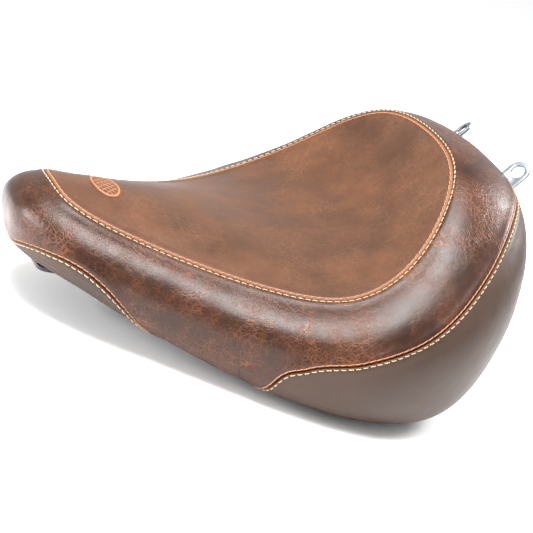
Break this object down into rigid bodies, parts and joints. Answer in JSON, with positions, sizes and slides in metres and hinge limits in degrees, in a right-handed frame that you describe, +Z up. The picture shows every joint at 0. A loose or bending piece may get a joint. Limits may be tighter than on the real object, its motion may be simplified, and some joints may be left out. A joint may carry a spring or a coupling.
{
  "type": "motorcycle solo seat",
  "caption": "Bucket-shaped solo motorcycle seat: stitched brown vinyl over foam on a steel base pan, with rear bolt-on tabs and rubber feet.",
  "frame": {"origin": "middle of the seat's bounding box in plan, level with the feet of its four rubber bumpers", "axes": "+X to the seat's left side, +Y rearwards from the nose to the tall back, +Z up"},
  "size_m": [0.4136, 0.4647, 0.2299],
  "materials": {
    "cover_vinyl": "worn satin",
    "skirt_vinyl": "matte grain",
    "foam": "moulded",
    "pan_steel": "satin black",
    "zinc_steel": "zinc plated",
    "bumper_rubber": "matte",
    "strip_plastic": "matte"
  },
  "bodies": {
    "root": {"base_pan": "pan_steel", "bracket_rivet_left_1": "zinc_steel", "bracket_rivet_left_2": "zinc_steel", "bracket_rivet_right_1": "zinc_steel", "bracket_rivet_right_2": "zinc_steel", "bumper_front_left": "bumper_rubber", "bumper_front_right": "bumper_rubber", "bumper_rear_left": "bumper_rubber", "bumper_rear_right": "bumper_rubber", "bumper_screw_front_left": "zinc_steel", "bumper_screw_front_right": "zinc_steel", "bumper_screw_rear_left": "zinc_steel", "bumper_screw_rear_right": "zinc_steel", "cover_strip": "strip_plastic", "foam_cushion": "foam", "front_skirt": "skirt_vinyl", "front_tongue": "pan_steel", "rear_bracket_left": "zinc_steel", "rear_bracket_right": "zinc_steel", "rear_skirt_left": "skirt_vinyl", "rear_skirt_right": "skirt_vinyl", "rear_tab_left": "zinc_steel", "rear_tab_right": "zinc_steel", "side_band": "cover_vinyl", "strip_rivet_left_1": "zinc_steel", "strip_rivet_left_2": "zinc_steel", "strip_rivet_left_3": "zinc_steel", "strip_rivet_left_4": "zinc_steel", "strip_rivet_left_5": "zinc_steel", "strip_rivet_left_6": "zinc_steel", "strip_rivet_right_1": "zinc_steel", "strip_rivet_right_2": "zinc_steel", "strip_rivet_right_3": "zinc_steel", "strip_rivet_right_4": "zinc_steel", "strip_rivet_right_5": "zinc_steel", "strip_rivet_right_6": "zinc_steel", "tab_bolt_left_1": "zinc_steel", "tab_bolt_left_2": "zinc_steel", "tab_bolt_right_1": "zinc_steel", "tab_bolt_right_2": "zinc_steel", "tab_nut_left_1": "zinc_steel", "tab_nut_left_2": "zinc_steel", "tab_nut_right_1": "zinc_steel", "tab_nut_right_2": "zinc_steel", "tongue_rivet_left": "zinc_steel", "tongue_rivet_right": "zinc_steel", "top_panel": "cover_vinyl"}
  },
  "joints": []
}
